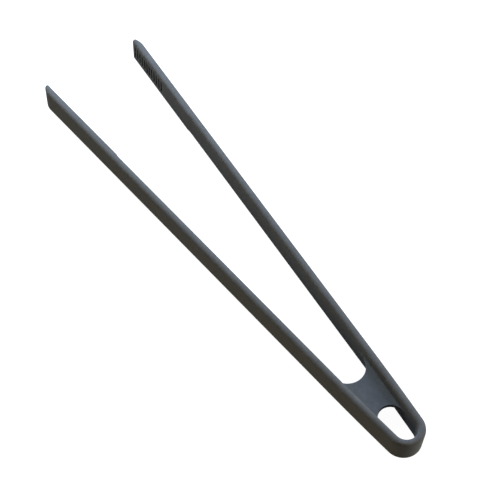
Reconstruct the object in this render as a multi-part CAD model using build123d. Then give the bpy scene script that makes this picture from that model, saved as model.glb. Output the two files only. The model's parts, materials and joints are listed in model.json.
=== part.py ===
"""Slim one-piece kitchen tongs, moulded in reinforced nylon.

The tongs lie on their side as they rest on a worktop. +Y runs from the closed bow to the tips,
+X is across the jaws and +Z is the height of the strip. The origin is under the middle of the
object's box. The moulding is divided at flat faces into the members that do its work: the bow,
two shanks joined by a bridge web, two spring leaves that bend, two arms and two grip pads.
"""

import math
import os

from build123d import *

# ---- Driving sizes, in millimetres and degrees ------------------------------------------------

# The strip that the whole moulding is drawn from
OVERALL_LENGTH = 290.0  # from the back of the bow to the tips
STRIP_HEIGHT = 16.0  # along Z
STRIP_WALL = 3.8  # thickness of bow, shanks, leaves and arms
OUTER_ROUNDING = 1.9  # of the two long edges the hand closes on
INNER_ROUNDING = 1.6  # of the two long edges inside

# The bow and the splay of the arms
BOW_RADIUS = 8.1  # centre line of the strip
BOW_END_SPLAY = 6.1  # how far each side still leans out where the bow ends
ARM_SPLAY = 4.5  # lean of each straight arm from the middle line
EASE_LENGTH = 43.0  # length over which the lean drops from the first to the second

# The bridge web between the shanks
WEB_THICKNESS = 2.2
WEB_ROOT_FILLET = 1.0  # hollow fillet between the web and each shank
BOW_SIDE_RIM = 16.5  # bow's centre to the web's rim, on the middle line
JAW_SIDE_RIM = 35.4  # bow's centre to the web's other rim
RIM_LAND = 0.3  # width left at the shank where a rim runs out

# The bending stretch of each arm: a slender cantilever turns about a point at this share of it
PIVOT_SHARE = 0.15

# The raised grip pad on each arm's inner face
PAD_LENGTH = 62.0  # from the tip
PAD_THICKNESS = 1.25
PAD_RAISE = 0.35  # how far the pad stands proud of the arm's inner face
TIP_BEND_LENGTH = 5.4  # over which the outer face curves in to the tip
TIP_BEND_DEPTH = 1.85

# The cross grooves in the grip pad
GROOVE_COUNT = 12
GROOVE_PITCH = 2.74
GROOVE_WIDTH = 1.2
GROOVE_LENGTH = 8.6  # along Z, over its round ends
GROOVE_DEPTH = 0.7
GROOVE_START = 2.7  # tip to the middle of the first groove

# ---- Places that follow from them -------------------------------------------------------------

MID_HEIGHT = STRIP_HEIGHT / 2
BOW_Y = BOW_RADIUS + STRIP_WALL / 2 - OVERALL_LENGTH / 2
EASE_RADIUS = EASE_LENGTH / math.radians(BOW_END_SPLAY - ARM_SPLAY)
SIDE_REACH = 4 * STRIP_WALL


def heading(lean):
    """Unit vector along the right-hand side where it leans out by this angle."""
    return Vector(math.sin(math.radians(lean)), math.cos(math.radians(lean)), 0)


def inward(lean):
    """Unit vector across the strip, towards the middle line."""
    return Vector(-math.cos(math.radians(lean)), math.sin(math.radians(lean)), 0)


BOW_CENTRE = Vector(0, BOW_Y, 0)
EASE_START = BOW_CENTRE - inward(BOW_END_SPLAY) * BOW_RADIUS
EASE_CENTRE = EASE_START + inward(BOW_END_SPLAY) * EASE_RADIUS
EASE_END = EASE_CENTRE - inward(ARM_SPLAY) * EASE_RADIUS


def distance_to_y(y, across):
    """Distance past the eased stretch at which a line that far inward of the centre line is at y."""
    start = EASE_END + inward(ARM_SPLAY) * across
    return (y - start.Y) / heading(ARM_SPLAY).Y


INNER_FACE = STRIP_WALL / 2
PAD_FACE = INNER_FACE + PAD_RAISE
PAD_BACK = PAD_FACE - PAD_THICKNESS
TIP_AT = distance_to_y(OVERALL_LENGTH / 2, PAD_FACE)
PAD_START_AT = TIP_AT - PAD_LENGTH


def rim_radius(middle, side):
    """Radius of the arc that crosses the middle line there and all but touches both shanks.

    Beside the web the shank's inner face is itself an arc, about the eased stretch's centre, so
    the two radii and the distance between the centres settle it. Side is -1 where the rim's
    centre lies towards the bow and 1 where it lies towards the jaws.
    """
    reach = EASE_RADIUS - INNER_FACE - RIM_LAND
    ahead = BOW_Y + middle - EASE_CENTRE.Y
    spare = reach**2 - EASE_CENTRE.X**2 - ahead**2
    return spare / (2 * (reach + side * ahead))


BOW_RIM_RADIUS = rim_radius(BOW_SIDE_RIM, -1)
JAW_RIM_RADIUS = rim_radius(JAW_SIDE_RIM, 1)
BOW_RIM_Y = BOW_Y + BOW_SIDE_RIM - BOW_RIM_RADIUS
JAW_RIM_Y = BOW_Y + JAW_SIDE_RIM + JAW_RIM_RADIUS

# The arm is free from where the jaw-side rim runs out, and turns about a point a little past it
SHANK_END_AT = distance_to_y(JAW_RIM_Y, 0)
PIVOT_AT = SHANK_END_AT + PIVOT_SHARE * (TIP_AT - SHANK_END_AT)


# ---- Sections and runs ------------------------------------------------------------------------


def station(at):
    """Plane square to the right-hand side, that far past the eased stretch. X points inward."""
    lean = ARM_SPLAY
    return Plane(EASE_END + heading(lean) * at, x_dir=inward(lean), z_dir=heading(lean))


def ease_station():
    """Plane square to the strip where the bow hands over to the shank."""
    lean = BOW_END_SPLAY
    return Plane(EASE_START, x_dir=inward(lean), z_dir=heading(lean))


def slab(low, high, tall):
    """Section that reaches from low to high across the strip, centred on its height."""
    return Pos((low + high) / 2, MID_HEIGHT) * Rectangle(high - low, tall)


def strip_section(inner_face):
    """Rounded section of the strip, from its outer face to the given inner face."""
    plain = slab(-INNER_FACE, inner_face, STRIP_HEIGHT)
    corners = plain.vertices().sort_by(Axis.X)
    return fillet(fillet(corners[:2], OUTER_ROUNDING).vertices().sort_by(Axis.X)[-2:], INNER_ROUNDING)


def straight_run(section, start, end):
    """The section carried along the straight part of the right-hand side."""
    return extrude(station(start) * section, end - start, dir=heading(ARM_SPLAY))


def shank_run(section, end):
    """The section carried from the bow, round the eased stretch and straight on."""
    axis = Axis(EASE_CENTRE, (0, 0, 1))
    eased = revolve(ease_station() * section, axis, BOW_END_SPLAY - ARM_SPLAY)
    return eased + straight_run(section, 0, end)


def on_left(right_solid):
    """The same member on the other side of the middle plane."""
    return mirror(right_solid, about=Plane.YZ)


# ---- Members ----------------------------------------------------------------------------------


def make_bow():
    """The round closed end, which is also the hanging loop."""
    axis = Axis(BOW_CENTRE, (0, 0, -1))
    return revolve(ease_station() * strip_section(INNER_FACE), axis, 180 - 2 * BOW_END_SPLAY)


def make_shank():
    """The stiff stretch beside the web."""
    return shank_run(strip_section(INNER_FACE), SHANK_END_AT)


def web_flare():
    """Section of the web where it meets a shank, with a hollow fillet above and below."""
    reach = INNER_FACE + WEB_ROOT_FILLET
    tall = WEB_THICKNESS + 2 * WEB_ROOT_FILLET
    flare = slab(INNER_FACE, reach, tall)
    for side in (-1, 1):
        flare -= Pos(reach, MID_HEIGHT + side * tall / 2) * Circle(WEB_ROOT_FILLET)
    return flare


def rim_cut(y, radius):
    """Upright cylinder that hollows out one rim of the web."""
    return Pos(0, y, MID_HEIGHT) * Cylinder(radius, STRIP_HEIGHT)


def make_web():
    """The plate between the shanks at half height, scooped at both ends."""
    length = JAW_RIM_Y - BOW_RIM_Y
    middle = Pos(0, (JAW_RIM_Y + BOW_RIM_Y) / 2, MID_HEIGHT)
    widest = 2 * (JAW_RIM_RADIUS + STRIP_WALL)
    plate = middle * Box(widest, length, WEB_THICKNESS)
    wall_and_beyond = shank_run(slab(-SIDE_REACH, INNER_FACE, STRIP_HEIGHT), SHANK_END_AT + SIDE_REACH)
    flare = shank_run(web_flare(), SHANK_END_AT + SIDE_REACH)
    plate -= wall_and_beyond
    plate -= on_left(wall_and_beyond)
    web = plate + flare + on_left(flare)
    web &= middle * Box(widest, length, STRIP_HEIGHT)
    web -= rim_cut(BOW_RIM_Y, BOW_RIM_RADIUS)
    web -= rim_cut(JAW_RIM_Y, JAW_RIM_RADIUS)
    return web


def make_leaf():
    """The first free stretch of the arm, where most of the bending takes place."""
    return straight_run(strip_section(INNER_FACE), SHANK_END_AT, PIVOT_AT)


def tip_corner():
    """What is taken off where the outer face curves in to the tip."""
    radius = (TIP_BEND_LENGTH**2 + TIP_BEND_DEPTH**2) / (2 * TIP_BEND_DEPTH)
    corner_at = Pos(TIP_BEND_DEPTH / 2 - INNER_FACE, -TIP_BEND_LENGTH / 2)
    corner = corner_at * Rectangle(TIP_BEND_DEPTH, TIP_BEND_LENGTH)
    corner -= Pos(radius - INNER_FACE, -TIP_BEND_LENGTH) * Circle(radius)
    end = station(TIP_AT).origin
    plan = Plane(end, x_dir=inward(ARM_SPLAY), z_dir=(0, 0, -1))
    return extrude(plan * corner, STRIP_HEIGHT, dir=(0, 0, 1))


def make_arm():
    """The long flat arm, thinned on its inner face where the grip pad lies."""
    plain = straight_run(strip_section(INNER_FACE), PIVOT_AT, PAD_START_AT)
    behind_pad = strip_section(PAD_FACE) & slab(-INNER_FACE, PAD_BACK, STRIP_HEIGHT)
    return plain + straight_run(behind_pad, PAD_START_AT, TIP_AT) - tip_corner()


def grooves():
    """The row of cross grooves near the tip, each cut in from the pad's face."""
    side = Plane(station(0).origin, x_dir=heading(ARM_SPLAY), z_dir=-inward(ARM_SPLAY))
    bottom = side.offset(GROOVE_DEPTH - PAD_FACE)
    slot = SlotOverall(GROOVE_LENGTH, GROOVE_WIDTH, rotation=90)
    first = TIP_AT - GROOVE_START
    row = [Pos(first - step * GROOVE_PITCH, MID_HEIGHT) * slot for step in range(GROOVE_COUNT)]
    return [extrude(bottom * one, PAD_THICKNESS, dir=inward(ARM_SPLAY)) for one in row]


def make_grip_pad():
    """The raised inner face at the tip, with its cross grooves."""
    facing = strip_section(PAD_FACE) & slab(PAD_BACK, PAD_FACE, STRIP_HEIGHT)
    return straight_run(facing, PAD_START_AT, TIP_AT) - grooves()


# ---- The assembly -----------------------------------------------------------------------------


def build():
    """Every member by its name."""
    members = {"bow": make_bow(), "bridge_web": make_web()}
    one_side = {
        "shank": make_shank(),
        "spring_leaf": make_leaf(),
        "arm": make_arm(),
        "grip_pad": make_grip_pad(),
    }
    for name, solid in one_side.items():
        members["right_" + name] = solid
        members["left_" + name] = on_left(solid)
    return members


def main():
    os.makedirs("parts", exist_ok=True)
    for name, solid in build().items():
        solid.label = name
        export_step(solid, f"parts/{name}.step")
        print(name, round(solid.volume, 1))
    pivot = station(PIVOT_AT).origin
    print("right pivot", round(pivot.X, 3), round(pivot.Y, 3))


main()
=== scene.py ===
# %% [markdown]
# # Springy one-piece kitchen tongs
# The real tongs are a single injection moulding in dark reinforced nylon. A strip 4 mm thick and
# 16 mm tall starts at one tip, runs down an arm, turns round a small bow and runs up the other arm.
# A thin web ties the two sides together near the bow. Nothing is assembled, so the spring is the
# plastic itself.
#
# The engineering model of the tongs is loaded first and stays where it is. It fixes every size and
# every hinge. This notebook then gives each part a skin: smooth rounded meshes in a material that
# looks moulded.

# %% Load the engineering model
import json
import math

import bmesh
import bpy
from mathutils import Matrix, Vector


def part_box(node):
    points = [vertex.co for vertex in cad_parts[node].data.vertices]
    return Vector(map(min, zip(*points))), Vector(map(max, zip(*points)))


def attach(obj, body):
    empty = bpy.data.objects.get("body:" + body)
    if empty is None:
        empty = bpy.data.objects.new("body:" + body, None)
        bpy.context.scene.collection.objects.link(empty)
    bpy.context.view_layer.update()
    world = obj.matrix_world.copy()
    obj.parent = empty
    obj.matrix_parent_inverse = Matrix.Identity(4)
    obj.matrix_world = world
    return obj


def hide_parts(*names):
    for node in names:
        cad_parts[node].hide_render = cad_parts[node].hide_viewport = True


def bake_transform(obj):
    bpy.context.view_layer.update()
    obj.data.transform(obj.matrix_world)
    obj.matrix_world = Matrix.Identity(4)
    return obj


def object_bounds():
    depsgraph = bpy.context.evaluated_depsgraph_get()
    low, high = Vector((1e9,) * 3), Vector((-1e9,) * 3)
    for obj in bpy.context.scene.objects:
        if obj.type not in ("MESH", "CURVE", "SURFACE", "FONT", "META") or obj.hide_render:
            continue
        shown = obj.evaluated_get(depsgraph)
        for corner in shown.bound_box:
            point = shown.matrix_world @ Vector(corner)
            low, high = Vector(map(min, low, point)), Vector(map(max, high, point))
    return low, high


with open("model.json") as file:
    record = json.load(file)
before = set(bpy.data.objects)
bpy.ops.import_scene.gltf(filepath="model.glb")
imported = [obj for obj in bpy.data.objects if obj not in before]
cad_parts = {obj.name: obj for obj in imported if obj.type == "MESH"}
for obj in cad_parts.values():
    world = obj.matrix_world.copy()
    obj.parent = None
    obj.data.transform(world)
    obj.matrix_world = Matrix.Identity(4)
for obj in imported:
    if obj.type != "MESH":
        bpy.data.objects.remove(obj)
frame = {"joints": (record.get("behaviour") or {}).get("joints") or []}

MM = 0.001
WELD = 0.001 * MM  # vertices nearer than this are one
SLACK = 0.01 * MM  # allowed when two measures are compared
CORNER_ANGLE = 1.0  # radians; an edge that turns more than this is a corner
cad_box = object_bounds()
print("engineering box, m:", [tuple(round(v, 4) for v in corner) for corner in cad_box])

# %% [markdown]
# ## Where everything is
# Blender works in metres, as the engineering model does. Lengths, heights and hinges are read from
# that model. A box can't tell the wall, the rounding and the lean of the sides, so those few sizes
# are written here, once, and every mesh is worked out from them.

# %% The strip's sizes
WALL = 3.8 * MM
OUTER_ROUNDING = 1.9 * MM
INNER_ROUNDING = 1.6 * MM
BOW_RADIUS = 8.1 * MM
BOW_END_SPLAY = math.radians(6.1)
ARM_SPLAY = math.radians(4.5)
EASE_LENGTH = 43.0 * MM

HEIGHT = cad_box[1].z
MIDDLE = HEIGHT / 2
INNER_FACE = WALL / 2
UP = Vector((0, 0, 1))
print("strip height and wall, mm:", round(HEIGHT / MM, 2), round(WALL / MM, 2))

# %% [markdown]
# The middle line of the right-hand side is a path in plan: a round bow, a long gentle bend beside
# the web where the splay eases off, and then a straight line to the tip. Everything on the left is
# its mirror image, so only this path is needed. `right_side` gives a matrix that places things on
# the straight part: X points in across the strip, Y points up and Z runs along the arm.


# %% The path of the right-hand side
def heading(lean):
    """Direction along the right-hand side where it leans out by this angle."""
    return Vector((math.sin(lean), math.cos(lean), 0))


def inward(lean):
    """Direction across the strip, towards the middle of the tongs."""
    return Vector((-math.cos(lean), math.sin(lean), 0))


BOW_CENTRE = Vector((0, cad_box[0].y + INNER_FACE + BOW_RADIUS, 0))
EASE_RADIUS = EASE_LENGTH / (BOW_END_SPLAY - ARM_SPLAY)
EASE_CENTRE = BOW_CENTRE + inward(BOW_END_SPLAY) * (EASE_RADIUS - BOW_RADIUS)
ARM_START = EASE_CENTRE - inward(ARM_SPLAY) * EASE_RADIUS


def right_side(along, across=0.0):
    """Matrix of a place on the straight part of the right-hand side, at half height."""
    place = ARM_START + heading(ARM_SPLAY) * along + inward(ARM_SPLAY) * across + UP * MIDDLE
    axes = Matrix((inward(ARM_SPLAY), UP, heading(ARM_SPLAY))).transposed()
    return Matrix.Translation(place) @ axes.to_4x4()


def along_to_y(y, across=0.0):
    """How far along a line at that depth across the strip reaches this y."""
    return (y - right_side(0, across).translation.y) / heading(ARM_SPLAY).y


print("bow centre, mm:", round(BOW_CENTRE.y / MM, 2))
print("straight part starts at, mm:", [round(v / MM, 2) for v in ARM_START])

# %% [markdown]
# The places along the side come from the engineering model: the web's box says where its two rims
# run out, the hinge says where the arm turns, and the far end of the box is the tip.

# %% Stations along the side
PAD_LENGTH = 62.0 * MM
PAD_RAISE = 0.35 * MM
PAD_LEAD_IN = 2.5 * MM
PAD_FACE = INNER_FACE + PAD_RAISE

web_low, web_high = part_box("bridge_web")
hinge = Vector([joint for joint in frame["joints"] if joint["name"] == "right_squeeze"][0]["pos_m"])
SHANK_END = along_to_y(web_high.y)
HINGE_AT = along_to_y(hinge.y)
TIP_AT = along_to_y(cad_box[1].y, PAD_FACE)
PAD_START = TIP_AT - PAD_LENGTH
print("shank end, hinge, pad, tip, mm:",
      [round(v / MM, 1) for v in (SHANK_END, HINGE_AT, PAD_START, TIP_AT)])

# %% [markdown]
# ## Drawing the strip
# A moulded strip has one cross-section all the way, so it can be swept like toothpaste. One could
# bend a curve object with a bevel shape, but a swept mesh gives exact arcs, lets the number of
# cuts differ from stretch to stretch, and can be shaped at the tip afterwards.
#
# The section starts as a single square face, scaled to the wall and the height. Two vertex bevels
# round its corners: the wider ones on the outside, where the hand closes on the strip, and smaller
# ones inside. They all but meet, so the narrow faces of the strip look round. Then the face is
# thrown away and only its outline is kept, because the sweep will make the skin and the inside
# stays hollow until the ends are capped.

# %% The rounded cross-section
ROUNDING_CUTS = 9


def rounded_section(bm, inner_face, place):
    """Draws the outline of the strip's section at a place and returns its edges."""
    bmesh.ops.create_grid(bm, x_segments=1, y_segments=1, size=0.5)  # one metre each way
    width = inner_face + INNER_FACE
    shift = Matrix.Translation(((inner_face - INNER_FACE) / 2, 0, 0))
    bmesh.ops.transform(bm, matrix=shift @ Matrix.Diagonal((width, HEIGHT, 1, 1)), verts=bm.verts[:])
    outer = [v for v in bm.verts if v.co.x < -INNER_FACE / 2]
    inner = [v for v in bm.verts if v.co.x > INNER_FACE / 2]
    for corners, radius in ((outer, OUTER_ROUNDING), (inner, INNER_ROUNDING)):
        bmesh.ops.bevel(bm, geom=corners, affect="VERTICES", offset=radius,
                        segments=ROUNDING_CUTS, profile=0.5, material=-1)
    bmesh.ops.delete(bm, geom=bm.faces[:], context="FACES_ONLY")
    bmesh.ops.transform(bm, matrix=place, verts=bm.verts[:])
    return bm.edges[:]


# %% [markdown]
# Two moves carry an outline along the path. `run` extrudes it straight ahead in equal steps, and
# `turn` spins it about an upright axis. Each returns the outline at the new end, so moves follow
# one another. `cap` closes an end with one flat face.


# %% Moves that carry the section
def once(things):
    """The things in the order they come in, each once, so that every run makes the same mesh."""
    return list(dict.fromkeys(things))


def ends_of(edges):
    """The vertices of some edges, each once."""
    return once(v for e in edges for v in e.verts)


def run(bm, outline, offset, steps):
    """Extrudes the outline by the offset, in equal steps."""
    for _ in range(steps):
        grown = bmesh.ops.extrude_edge_only(bm, edges=outline)["geom"]
        outline = [g for g in grown if isinstance(g, bmesh.types.BMEdge)]
        bmesh.ops.translate(bm, verts=ends_of(outline), vec=offset / steps)
    return outline


def turn(bm, outline, centre, angle, steps):
    """Spins the outline about an upright axis."""
    last = bmesh.ops.spin(bm, geom=ends_of(outline) + outline, cent=centre, axis=UP, angle=angle,
                          steps=steps, use_merge=False, use_duplicate=False)["geom_last"]
    return [g for g in last if isinstance(g, bmesh.types.BMEdge)]


def cap(bm, outline):
    """Closes an open end with one face."""
    return bmesh.ops.contextual_create(bm, geom=outline)["faces"][0]


# %% [markdown]
# Shading decides whether a part looks moulded. Faces are shaded smooth, edges sharper than a
# limit stay crisp, and a Weighted Normal modifier lets the big flat faces keep their own normal so
# that only the rounded edges look round. A finished piece is an object at the origin, with its
# place in its mesh.

# %% Turning a bmesh into a finished piece
SHARP_ANGLE = math.radians(38)


def finished_piece(bm, name):
    """Makes an object from the bmesh, with outward faces and smooth shading."""
    bmesh.ops.remove_doubles(bm, verts=bm.verts[:], dist=WELD)
    bmesh.ops.recalc_face_normals(bm, faces=bm.faces[:])
    for face in bm.faces:
        face.smooth = True
    for edge in bm.edges:
        edge.smooth = edge.calc_face_angle(0) < SHARP_ANGLE
    open_edges = sum(not edge.is_manifold for edge in bm.edges)
    volume = bm.calc_volume(signed=True)
    mesh = bpy.data.meshes.new(name)
    bm.to_mesh(mesh)
    bm.free()
    piece = bpy.data.objects.new(name, mesh)
    bpy.context.scene.collection.objects.link(piece)
    weighted = piece.modifiers.new("even shading", "WEIGHTED_NORMAL")
    weighted.keep_sharp = True
    print(name, "faces:", len(mesh.polygons), "open edges:", open_edges,
          "volume, cm3:", round(volume * 1e6, 3))
    return piece


# %% [markdown]
# ## The head: bow and shanks
# The bow is the round closed end, which also hangs on a hook. The two shanks run on from it beside
# the web. On the real tongs they are one strip, so they are one mesh here. It could be three
# pieces, but a joint line would show where the moulding has none.
#
# The section is set up on the middle line, at the back of the bow. It turns round the bow, turns a
# little more where the splay eases off, and runs straight to the end of the shank. A mirror makes
# the other half and welds it on.

# %% Head
BOW_STEPS = 40
EASE_STEPS = 24
SHANK_STEPS = 2


def make_head():
    bm = bmesh.new()
    back = BOW_CENTRE + Vector((0, -BOW_RADIUS, MIDDLE))
    axes = Matrix(((0, 1, 0), (0, 0, 1), (1, 0, 0))).transposed().to_4x4()
    outline = rounded_section(bm, INNER_FACE, Matrix.Translation(back) @ axes)
    outline = turn(bm, outline, BOW_CENTRE, math.pi / 2 - BOW_END_SPLAY, BOW_STEPS)
    outline = turn(bm, outline, EASE_CENTRE, BOW_END_SPLAY - ARM_SPLAY, EASE_STEPS)
    outline = run(bm, outline, heading(ARM_SPLAY) * SHANK_END, SHANK_STEPS)
    cap(bm, outline)
    everything = bm.verts[:] + bm.edges[:] + bm.faces[:]
    bmesh.ops.mirror(bm, geom=everything, axis="X", merge_dist=WELD)
    return finished_piece(bm, "head_moulding")


head = make_head()

# %% [markdown]
# ## The bridge web
# The web is a plate 2 mm thick, half way up the strip. It stops the sides from spreading at the
# bow, so the spring starts past it. Both of its free rims are scooped round, like the ends of a
# slot, and a hollow fillet leads up each shank. That is where such a moulding would crack first.
#
# One could cut a plate with two cylinders, but a Boolean leaves ragged faces that are hard to
# round. Here each rim is one point, spun through half a turn. A bridge between the two arcs is the
# plate, and its sides are pulled into the shanks. The rims' ends run out along the wall.

# %% Web plate
WEB_THICKNESS = 2.2 * MM
ROOT_FILLET = 1.0 * MM
RIM_LAND = 0.3 * MM
RIM_ROUNDING = 0.45 * MM
RIM_ROUNDING_CUTS = 3
BOW_RUN_OUT = 3.5 * MM
JAW_RUN_OUT = 4.5 * MM
RIM_STEPS = 32
WALL_BITE = 0.45 * MM


def gap_to_wall(point):
    """Distance from a point to the nearer shank's inner face, bent or straight."""
    flat = Vector((abs(point.x), point.y, 0))
    if flat.y < ARM_START.y:
        return EASE_RADIUS - INNER_FACE - (flat - EASE_CENTRE).length
    return (flat - ARM_START).dot(inward(ARM_SPLAY)) - INNER_FACE


def into_wall(y):
    """How far out a point at this y has to be to sit just inside the shank."""
    return (gap_to_wall(Vector((0, y, 0))) + WALL_BITE) / heading(ARM_SPLAY).y


def rim_arc(bm, centre_y, side):
    """A scooped rim: half a turn from the left wall to the right one, not quite touching them."""
    radius = gap_to_wall(Vector((0, centre_y, 0))) - RIM_LAND
    before = set(bm.edges)
    first = bm.verts.new((-radius, centre_y, MIDDLE - WEB_THICKNESS / 2))
    bmesh.ops.spin(bm, geom=[first], cent=(0, centre_y, 0), axis=UP, angle=side * math.pi,
                   steps=RIM_STEPS, use_merge=False, use_duplicate=False)
    print("rim radius, mm:", round(radius / MM, 2))
    return [e for e in bm.edges if e not in before]


def web_plate():
    """The flat plate between the two rims and the two shanks."""
    bm = bmesh.new()
    rims = rim_arc(bm, web_low.y, -1) + rim_arc(bm, web_high.y, 1)
    bmesh.ops.bridge_loops(bm, edges=rims)
    sides = [e for e in bm.edges if e.is_boundary and e not in rims]
    grown = bmesh.ops.extrude_edge_only(bm, edges=sides)["geom"]
    for vert in [g for g in grown if isinstance(g, bmesh.types.BMVert)]:
        jaw_side = abs(vert.co.y - web_high.y) < abs(vert.co.y - web_low.y)
        vert.co.y = web_high.y + JAW_RUN_OUT if jaw_side else web_low.y - BOW_RUN_OUT
        vert.co.x = math.copysign(into_wall(vert.co.y), vert.co.x)
    top = bmesh.ops.extrude_face_region(bm, geom=bm.faces[:])["geom"]
    bmesh.ops.translate(bm, verts=[g for g in top if isinstance(g, bmesh.types.BMVert)],
                        vec=UP * WEB_THICKNESS)
    return bm


# %% [markdown]
# The plate is still sharp and meets the walls at a right angle. A bevel rounds both edges of each
# rim. For the fillets, planes along each wall cut the plate into narrow lanes, and then each lane
# is stretched up and down by the height that a quarter circle has at its distance from the wall.
# The stretch is a plain formula, so the fillet's radius is one number. The wall bends a little, so
# the planes take its lean half way along the web.

# %% Rounded rims and hollow fillets
FILLET_LANES = 8


def round_rims(bm):
    """Rounds the upper and lower edge of both rims, run-outs included."""
    free = [e for e in bm.edges
            if e.calc_face_angle(0) > CORNER_ANGLE
            and abs(e.verts[0].co.z - e.verts[1].co.z) < SLACK
            and max(gap_to_wall(v.co) for v in e.verts) > 0]
    bmesh.ops.bevel(bm, geom=free, affect="EDGES", offset=RIM_ROUNDING,
                    segments=RIM_ROUNDING_CUTS, profile=0.5, material=-1)
    print("rim edges rounded:", len(free))


def fillet_rise(gap):
    """Height of the hollow fillet above the plate at a distance from the wall."""
    inside = min(max(gap, 0), ROOT_FILLET)
    return ROOT_FILLET - math.sqrt(ROOT_FILLET ** 2 - (ROOT_FILLET - inside) ** 2)


def raise_fillets(bm):
    """Cuts lanes along both walls and stretches them to the fillet's height."""
    lean = math.asin((EASE_CENTRE.y - (web_low.y + web_high.y) / 2) / EASE_RADIUS)
    for lane in range(FILLET_LANES):
        gap = ROOT_FILLET * (1 - math.sin(lane / FILLET_LANES * math.pi / 2))
        for side in (-1, 1):
            flip = Matrix.Diagonal((side, 1, 1))
            face = EASE_CENTRE - inward(lean) * (EASE_RADIUS - INNER_FACE - gap)
            bmesh.ops.bisect_plane(bm, geom=bm.verts[:] + bm.edges[:] + bm.faces[:], dist=WELD,
                                   plane_co=flip @ face, plane_no=flip @ inward(lean))
    for vert in bm.verts:
        stretch = 1 + fillet_rise(gap_to_wall(vert.co)) / (WEB_THICKNESS / 2)
        vert.co.z = MIDDLE + (vert.co.z - MIDDLE) * stretch


plate = web_plate()
round_rims(plate)
raise_fillets(plate)
web = finished_piece(plate, "web_moulding")

# %% [markdown]
# ## An arm
# Each arm is the long blade of the tongs. Its first stretch, next to the web, is where most of the
# bending happens, so it gets many cuts and can curve smoothly. The rest stays almost straight and
# needs few. At the grip pad the inner face steps in by a third of a millimetre, over a short slope
# that lets the moulding slide out of its mould.
#
# The outer face curves in over the last few millimetres, which makes the tip slim, while the inner
# face runs straight on to pick up small things. One could cut the corner off and bevel it, but the
# cut would meet the strip's long roundings in sharp points. Instead the last steps of the sweep
# shrink the section towards its inner face, each by what a wide arc asks for. The very last ones
# also close in all round, which rounds the end face's rim.

# %% Arm without its grooves
LEAF_STEPS = 28
BLADE_STEPS = 16
TIP_BEND_LENGTH = 5.4 * MM
TIP_BEND_DEPTH = 1.85 * MM
TIP_BEND_RADIUS = (TIP_BEND_LENGTH ** 2 + TIP_BEND_DEPTH ** 2) / (2 * TIP_BEND_DEPTH)
TIP_BEND_STEPS = 10
TIP_RIM = 0.35 * MM
TIP_RIM_STEPS = 4


def across_of(point):
    """Depth of a point across the right-hand strip, from its centre line inward."""
    return (point - right_side(0).translation).dot(inward(ARM_SPLAY))


def closed_in(radius, ahead):
    """How far a rounding of this radius has closed in, that far past its start."""
    return radius - math.sqrt(radius ** 2 - min(max(ahead, 0), radius) ** 2)


def tip_stops():
    """Where each step of the tip's sweep ends: even along the bend, then fine round the rim."""
    bend = TIP_BEND_LENGTH - TIP_RIM
    even = [bend * (step + 1) / TIP_BEND_STEPS for step in range(TIP_BEND_STEPS)]
    turns = [(step + 1) / TIP_RIM_STEPS * math.pi / 2 for step in range(TIP_RIM_STEPS)]
    return even + [bend + TIP_RIM * math.sin(turn) for turn in turns]


def round_tip(bm, outline):
    """Sweeps the last stretch with the outer face closing in on the inner one."""
    ahead, rim, wide, high = 0.0, 0.0, PAD_FACE + INNER_FACE, HEIGHT
    for reached in tip_stops():
        outline = run(bm, outline, heading(ARM_SPLAY) * (reached - ahead), 1)
        new_rim = closed_in(TIP_RIM, reached - TIP_BEND_LENGTH + TIP_RIM)
        new_wide = PAD_FACE + INNER_FACE - new_rim - closed_in(TIP_BEND_RADIUS, reached)
        new_high = HEIGHT - 2 * new_rim
        inner = right_side(0, PAD_FACE - rim)
        close_in = inner @ Matrix.Diagonal((new_wide / wide, new_high / high, 1, 1)) @ inner.inverted()
        step_out = Matrix.Translation(-inward(ARM_SPLAY) * (new_rim - rim))
        bmesh.ops.transform(bm, matrix=step_out @ close_in, verts=ends_of(outline))
        ahead, rim, wide, high = reached, new_rim, new_wide, new_high
    return outline


def plain_arm():
    """The right arm from the shank to the tip, with its pad raised and its tip rounded."""
    bm = bmesh.new()
    ahead = heading(ARM_SPLAY)
    bend_end = 2 * HINGE_AT - SHANK_END
    outline = rounded_section(bm, INNER_FACE, right_side(SHANK_END))
    cap(bm, outline)
    outline = run(bm, outline, ahead * (bend_end - SHANK_END), LEAF_STEPS)
    outline = run(bm, outline, ahead * (PAD_START - PAD_LEAD_IN - bend_end), BLADE_STEPS)
    outline = run(bm, outline, ahead * PAD_LEAD_IN, 1)
    between_roundings = (OUTER_ROUNDING - INNER_ROUNDING) / 2
    inner_edge = [v for v in ends_of(outline) if across_of(v.co) > between_roundings]
    bmesh.ops.translate(bm, verts=inner_edge, vec=inward(ARM_SPLAY) * PAD_RAISE)
    outline = run(bm, outline, ahead * (PAD_LENGTH - TIP_BEND_LENGTH), 1)
    cap(bm, round_tip(bm, outline))
    return bm


# %% [markdown]
# ## The grip
# A row of twelve short grooves across the inner face keeps food from sliding. In the mould they
# are thin ribs. They could be a bump map, but they are deep enough to show at a low angle, so they
# are cut. Planes slice the pad's flat face at both sides of every groove, the cells between them
# sink by the groove's depth, and bevels make their ends round and their rims soft.

# %% Grooves
GROOVE_COUNT = 12
GROOVE_PITCH = 2.74 * MM
GROOVE_WIDTH = 1.2 * MM
GROOVE_LENGTH = 8.6 * MM
GROOVE_DEPTH = 0.7 * MM
GROOVE_START = 2.7 * MM
GROOVE_END_ROUNDING = 0.48 * GROOVE_WIDTH  # just under half, so that the two bevels don't meet
GROOVE_END_CUTS = 4
GROOVE_RIM = 0.12 * MM
GROOVE_RIM_CUTS = 2
FACING = 0.999  # how squarely a face of the pad looks inward


def pad_faces(bm):
    """The flat faces of the grip, which lie at the pad's own depth."""
    return [f for f in bm.faces
            if abs(f.normal.dot(inward(ARM_SPLAY))) > FACING
            and abs(across_of(f.calc_center_median()) - PAD_FACE) < SLACK]


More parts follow.
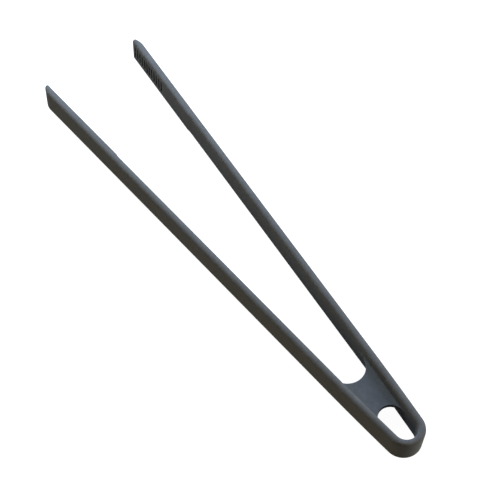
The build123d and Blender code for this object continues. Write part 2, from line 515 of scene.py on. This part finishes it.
def slice_pad(bm, point, normal):
    """Cuts the grip's flat faces, and nothing else, along a plane."""
    faces = pad_faces(bm)
    around = once(v for f in faces for v in f.verts) + once(e for f in faces for e in f.edges)
    bmesh.ops.bisect_plane(bm, geom=around + faces, dist=WELD, plane_co=point, plane_no=normal)


def groove_number(point):
    """Which groove a point lies in, or None between grooves and beyond their ends."""
    along = (point - right_side(0).translation).dot(heading(ARM_SPLAY))
    steps = (TIP_AT - GROOVE_START - along) / GROOVE_PITCH
    nearest = round(steps)
    beside = abs(steps - nearest) * GROOVE_PITCH > GROOVE_WIDTH / 2 + SLACK
    beyond = abs(point.z - MIDDLE) > GROOVE_LENGTH / 2 + SLACK
    return None if beside or beyond or not 0 <= nearest < GROOVE_COUNT else nearest


def cut_grooves(bm):
    """Sinks the row of grooves into the grip."""
    first = TIP_AT - GROOVE_START
    for number in range(GROOVE_COUNT):
        for side in (-1, 1):
            edge_at = first - number * GROOVE_PITCH + side * GROOVE_WIDTH / 2
            slice_pad(bm, right_side(edge_at).translation, heading(ARM_SPLAY))
    for side in (-1, 1):
        slice_pad(bm, UP * (MIDDLE + side * GROOVE_LENGTH / 2), UP)
    cells = [f for f in pad_faces(bm) if groove_number(f.calc_center_median()) is not None]
    print("groove cells:", len(cells))
    sunk = bmesh.ops.extrude_face_region(bm, geom=cells)["geom"]
    bmesh.ops.delete(bm, geom=cells, context="FACES")
    bmesh.ops.translate(bm, verts=[g for g in sunk if isinstance(g, bmesh.types.BMVert)],
                        vec=-inward(ARM_SPLAY) * GROOVE_DEPTH)


def in_grooves(bm, across_face):
    """Edges of the grooves: the upright corners, or the rims if they run across the face."""
    found = []
    for edge in bm.edges:
        outside = any(groove_number(v.co) is None for v in edge.verts)
        if outside or edge.calc_face_angle(0) < CORNER_ANGLE:
            continue
        depths = [across_of(v.co) for v in edge.verts]
        corner = abs(depths[0] - depths[1]) > GROOVE_DEPTH / 2
        at_face = min(depths) > PAD_FACE - SLACK
        if (across_face and at_face) or (not across_face and corner):
            found.append(edge)
    return found


def soften_grooves(bm):
    """Rounds the grooves' ends, and then their rims."""
    bmesh.ops.bevel(bm, geom=in_grooves(bm, False), affect="EDGES", offset=GROOVE_END_ROUNDING,
                    segments=GROOVE_END_CUTS, profile=0.5, material=-1)
    bmesh.ops.bevel(bm, geom=in_grooves(bm, True), affect="EDGES", offset=GROOVE_RIM,
                    segments=GROOVE_RIM_CUTS, profile=0.5, material=-1)


# %% [markdown]
# The left arm is the same moulding seen in a mirror. A negative scale turns a mesh inside out,
# and `finished_piece` turns its faces out again.

# %% Both arms
def make_arm(side):
    bm = plain_arm()
    cut_grooves(bm)
    soften_grooves(bm)
    bmesh.ops.scale(bm, vec=(side, 1, 1), verts=bm.verts[:])
    return finished_piece(bm, "right_arm_moulding" if side > 0 else "left_arm_moulding")


arms = {"right": make_arm(1), "left": make_arm(-1)}

# %% [markdown]
# ## Moulded nylon
# The plastic is a dark slate grey nylon with short glass fibres in it. It is matte: the mould is
# spark-eroded, which leaves a fine even grain, and the fibres mottle the colour a little where the
# melt flowed. A flat grey would look like a drawing. Three noises at three sizes are enough. All
# three mottle the colour, the middle one also varies the roughness, and the finest one is the
# grain in the relief. Such a grain scatters nearly all of the surface's own reflection, so the
# gloss level is low.
#
# The nodes are written as sums. `Signal` wraps a socket, so `1 - cloud` adds a Math node by
# itself, and its `node` method adds any other kind.


# %% Shader sums
class Signal:
    """A socket in a material's node tree that can be used in a sum."""

    def __init__(self, tree, socket=None):
        self.tree = tree
        self.socket = socket

    def node(self, kind, settings=None, output=0, **sockets):
        """Adds a node, gives it its settings and then its sockets, and returns an output."""
        made = self.tree.nodes.new(kind)
        for key, value in (settings or {}).items():
            setattr(made, key, value)
        for key, value in sockets.items():
            target = made.inputs[int(key[1:]) if key[1:].isdigit() else key.replace("_", " ")]
            if isinstance(value, Signal):
                self.tree.links.new(value.socket, target)
            else:
                target.default_value = value
        return None if output is None else Signal(self.tree, made.outputs[output])

    def sum(self, operation, first, second):
        return self.node("ShaderNodeMath", {"operation": operation}, s0=first, s1=second)

    def __add__(self, other):
        return self.sum("ADD", self, other)

    def __sub__(self, other):
        return self.sum("SUBTRACT", self, other)

    def __mul__(self, other):
        return self.sum("MULTIPLY", self, other)

    def __rsub__(self, other):
        return self.sum("SUBTRACT", other, self)

    __radd__ = __add__
    __rmul__ = __mul__


def empty_tree(owner):
    """Clears a material's or a world's nodes and returns a Signal to build new ones from."""
    owner.use_nodes = True
    owner.node_tree.nodes.clear()
    return Signal(owner.node_tree)


# %% The finish
SLATE = (0.060, 0.064, 0.067, 1)
PALE_SLATE = (0.090, 0.094, 0.097, 1)
CLOUD_SIZE = 9 * MM
BLOTCH_SIZE = 2.2 * MM
GRAIN_SIZE = 0.32 * MM
CLOUD_SHARE, BLOTCH_SHARE, GRAIN_SHARE = 0.3, 0.4, 0.3
MOTTLE_CONTRAST = 2.3
GRAIN_DEPTH = 0.012 * MM
ROUGHNESS = 0.75
ROUGHNESS_SPREAD = 0.12
GLOSS_LEVEL = 0.05


def moulded_nylon():
    """The one material of the moulding."""
    material = bpy.data.materials.new("moulded_nylon")
    start = empty_tree(material)
    place = start.node("ShaderNodeTexCoord", output="Object")

    def noise(size, detail):
        return start.node("ShaderNodeTexNoise", Vector=place, Scale=1 / size, Detail=detail)

    cloud = noise(CLOUD_SIZE, 3)
    blotch = noise(BLOTCH_SIZE, 2)
    grain = noise(GRAIN_SIZE, 2)
    mottle = cloud * CLOUD_SHARE + blotch * BLOTCH_SHARE + grain * GRAIN_SHARE
    colour = start.node("ShaderNodeMix", {"data_type": "RGBA"}, output=2,
                        s0=(mottle - 0.5) * MOTTLE_CONTRAST + 0.5, s6=SLATE, s7=PALE_SLATE)
    relief = start.node("ShaderNodeBump", Distance=GRAIN_DEPTH, Height=grain)
    skin = start.node("ShaderNodeBsdfPrincipled", Base_Color=colour, Normal=relief,
                      Roughness=(blotch - 0.5) * ROUGHNESS_SPREAD + ROUGHNESS,
                      Specular_IOR_Level=GLOSS_LEVEL)
    start.node("ShaderNodeOutputMaterial", output=None, Surface=skin)
    print("nylon nodes:", len(material.node_tree.nodes))
    return material


nylon = moulded_nylon()
for piece in (head, web, *arms.values()):
    piece.data.materials.append(nylon)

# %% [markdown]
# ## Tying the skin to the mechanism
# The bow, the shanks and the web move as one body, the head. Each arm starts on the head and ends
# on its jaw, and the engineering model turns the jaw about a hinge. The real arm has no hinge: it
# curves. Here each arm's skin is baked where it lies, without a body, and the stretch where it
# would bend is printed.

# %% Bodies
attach(head, "head")
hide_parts("bow", "left_shank", "right_shank")
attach(web, "head")
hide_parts("bridge_web")
for name, sign in (("right", 1), ("left", -1)):
    flip = Matrix.Diagonal((sign, 1, 1))
    bend_start = flip @ right_side(SHANK_END).translation
    bend_end = flip @ right_side(2 * HINGE_AT - SHANK_END).translation
    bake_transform(arms[name])
    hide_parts(name + "_spring_leaf", name + "_arm", name + "_grip_pad")
    print(name, "bends from, mm:", [round(v / MM, 1) for v in bend_start],
          "to:", [round(v / MM, 1) for v in bend_end])

# %% [markdown]
# ## Studio
# The floor is pale and plain. To the camera it is nearly white already, with just enough grey left
# in it, lit by the lamps, to keep a faint soft shadow. For the light that bounces off it onto the
# tongs it is dark, or its glow would wash out their lower edges. The Light Path node tells the two
# apart, and counts what is seen in a reflection or through glass as seen.

# %% Floor
WHITE = (1, 1, 1, 1)
DARK_BOUNCE = (0.03, 0.03, 0.03, 1)
FAINT_PAINT = (0.2, 0.2, 0.2, 1)
FLOOR_GLOW = 0.97
FLOOR_REACH = 3.0


def seen(start):
    """1 for rays that look at the surroundings, 0 for rays that gather light from them."""
    rays = start.node("ShaderNodeLightPath").socket.node.outputs
    camera, glossy, through = [Signal(start.tree, rays["Is " + kind + " Ray"])
                               for kind in ("Camera", "Glossy", "Transmission")]
    return camera + glossy + through


def pale_floor():
    """The floor's material: white to look at, dark for the light it sends back."""
    material = bpy.data.materials.new("pale_floor")
    start = empty_tree(material)
    bounce = start.node("ShaderNodeBsdfDiffuse", Color=DARK_BOUNCE)
    glow = start.node("ShaderNodeEmission", Color=WHITE, Strength=FLOOR_GLOW)
    painted = start.node("ShaderNodeBsdfDiffuse", Color=FAINT_PAINT)
    white = start.node("ShaderNodeAddShader", s0=glow, s1=painted)
    shown = start.node("ShaderNodeMixShader", s0=seen(start), s1=bounce, s2=white)
    start.node("ShaderNodeOutputMaterial", output=None, Surface=shown)
    return material


def make_floor():
    bm = bmesh.new()
    bmesh.ops.create_grid(bm, x_segments=1, y_segments=1, size=FLOOR_REACH)
    mesh = bpy.data.meshes.new("floor")
    bm.to_mesh(mesh)
    bm.free()
    floor = bpy.data.objects.new("floor", mesh)
    bpy.context.scene.collection.objects.link(floor)
    floor.data.materials.append(pale_floor())
    print("floor, m across:", 2 * FLOOR_REACH)


make_floor()

# %% [markdown]
# Matte plastic has no sharp highlights to show its shape, so the light has to differ from side to
# side. A small softbox past the tips and a broad one high on the right are cool and light the
# narrow upper faces. Two low ones, in front and on the left, are warm and fill the tall sides. All
# four face the tongs, and the room adds no light of its own.

# %% Lights
def softbox(name, place, size, colour, power):
    """A square area light that faces the tongs."""
    light = bpy.data.lights.new(name, "AREA")
    light.size = size
    light.color = colour
    light.energy = power
    lamp = bpy.data.objects.new(name, light)
    lamp.location = place
    lamp.rotation_euler = (-Vector(place)).to_track_quat("-Z", "Y").to_euler()
    bpy.context.scene.collection.objects.link(lamp)
    print(name, "W:", power, "distance, m:", round(Vector(place).length, 2))


softbox("tip_softbox", (0.0, 0.466, 0.399), 0.25, (0.76, 0.89, 1.0), 6.2)
softbox("right_softbox", (0.59, 0.47, 0.643), 0.5, (0.64, 0.72, 1.0), 10.3)
softbox("front_fill", (0.683, -0.683, 0.259), 0.6, (1.0, 0.92, 0.76), 12.6)
softbox("left_fill", (-0.966, 0.0, 0.259), 0.6, (1.0, 0.79, 0.47), 4.35)


def make_room():
    """A dark room that looks white behind the floor."""
    world = bpy.data.worlds.new("room")
    bpy.context.scene.world = world
    start = empty_tree(world)
    dark = start.node("ShaderNodeBackground", Color=(0, 0, 0, 1), Strength=0)
    white = start.node("ShaderNodeBackground", Color=WHITE, Strength=1)
    shown = start.node("ShaderNodeMixShader", s0=seen(start), s1=dark, s2=white)
    start.node("ShaderNodeOutputWorld", output=None, Surface=shown)


make_room()

# %% [markdown]
# ## Camera
# The tongs are seen from the front left and well above, with a long lens. The place is given as a
# target, a distance and two angles, because those can be read as a view.

# %% Camera
TARGET = Vector((4.97, -2.04, 0)) * MM
DISTANCE = 712.4 * MM
AZIMUTH = math.radians(-39.38)
ELEVATION = math.radians(57.675)
ROLL = math.radians(3.399)
LENS = 95.525  # focal length in mm, on a sensor 36 mm wide
SENSOR_WIDTH = 36
NEAREST_SEEN = 10 * MM


def make_camera():
    data = bpy.data.cameras.new("camera")
    data.lens = LENS
    data.sensor_width = SENSOR_WIDTH
    data.clip_start = NEAREST_SEEN
    camera = bpy.data.objects.new("camera", data)
    back = Vector((math.sin(AZIMUTH) * math.cos(ELEVATION),
                   -math.cos(AZIMUTH) * math.cos(ELEVATION), math.sin(ELEVATION)))
    aim = (-back).to_track_quat("-Z", "Y").to_matrix().to_4x4()
    camera.matrix_world = (Matrix.Translation(TARGET + back * DISTANCE) @ aim
                           @ Matrix.Rotation(ROLL, 4, "Z"))
    bpy.context.scene.collection.objects.link(camera)
    bpy.context.scene.camera = camera
    print("camera right:", [round(v, 4) for v in camera.matrix_world.col[0][:3]],
          "up:", [round(v, 4) for v in camera.matrix_world.col[1][:3]])


make_camera()
bpy.context.scene.view_settings.view_transform = "Standard"
